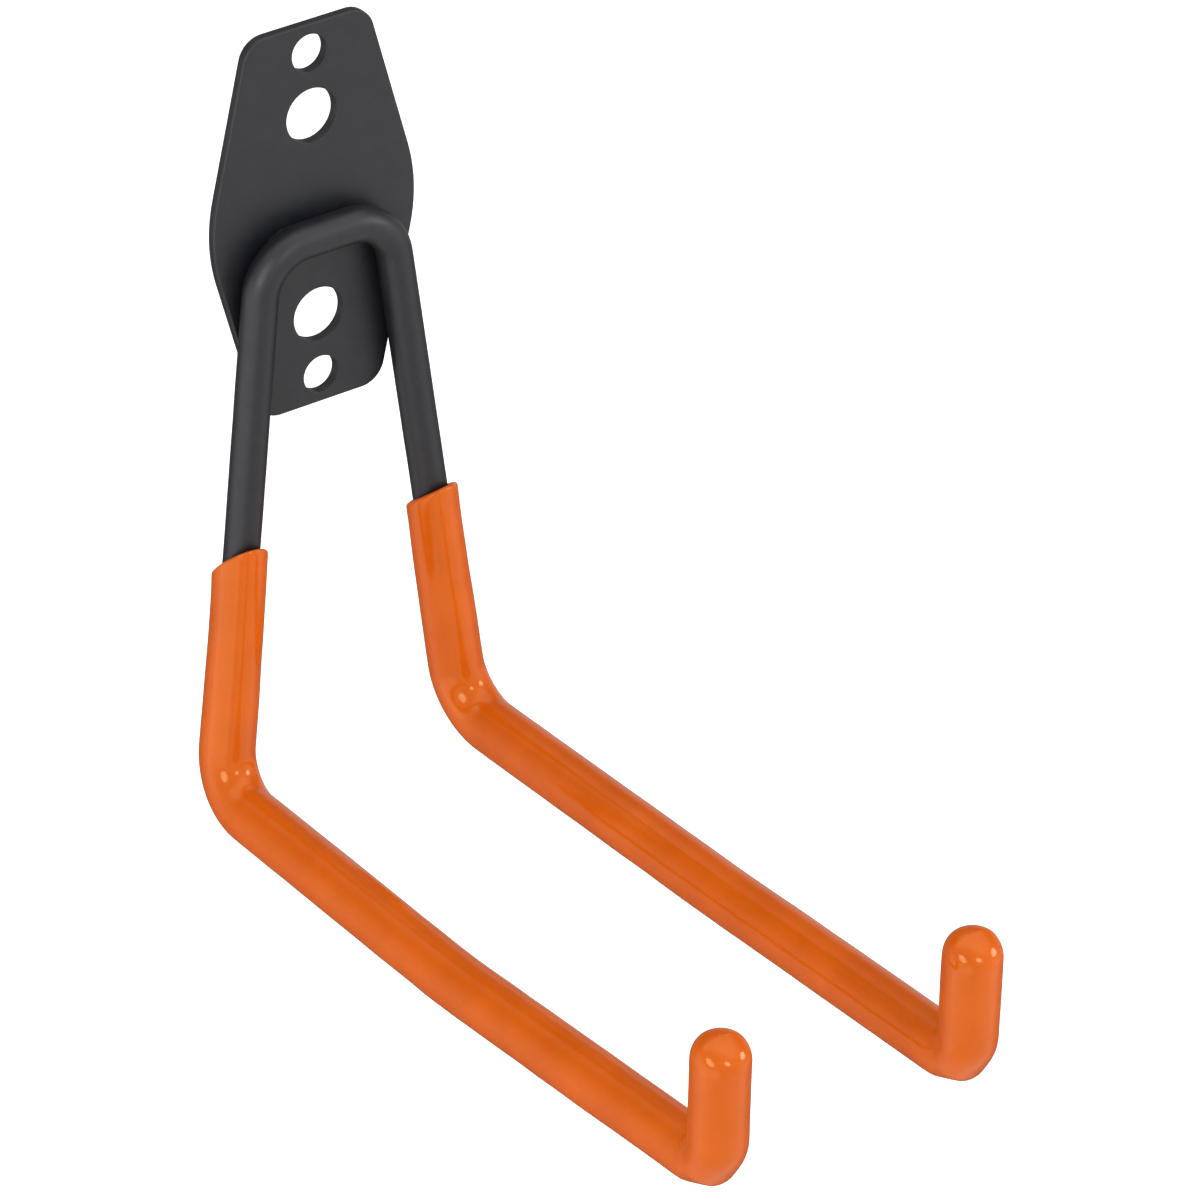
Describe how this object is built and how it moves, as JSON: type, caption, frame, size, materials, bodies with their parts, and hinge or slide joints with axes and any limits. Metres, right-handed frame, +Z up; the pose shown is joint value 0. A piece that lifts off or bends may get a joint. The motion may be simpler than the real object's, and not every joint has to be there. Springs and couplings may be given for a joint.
{
  "type": "bicycle wall rack hook",
  "caption": "Wall hook for a bicycle: a screwed steel plate with a bent round bar that forms parallel arms, each in a soft closed sleeve with an upturned end.",
  "frame": {"origin": "centre of the wall plate's back face, where it meets the wall", "axes": "+Y into the wall, so the arms reach along -Y; +Z up; +X to the right seen from the front; X = 0 is the mirror plane"},
  "size_m": [0.0772, 0.1985, 0.1821],
  "materials": {
    "plate_coat": "charcoal powder coat with a fine grain, satin",
    "bar_coat": "charcoal powder coat with a fine grain, satin",
    "sleeve_vinyl": "soft orange vinyl with a gentle gloss"
  },
  "bodies": {
    "root": {"wall_plate": "plate_coat", "hook_rod": "bar_coat", "weld_upper": "bar_coat", "weld_lower": "bar_coat", "sleeve_left": "sleeve_vinyl", "sleeve_right": "sleeve_vinyl"}
  },
  "joints": []
}
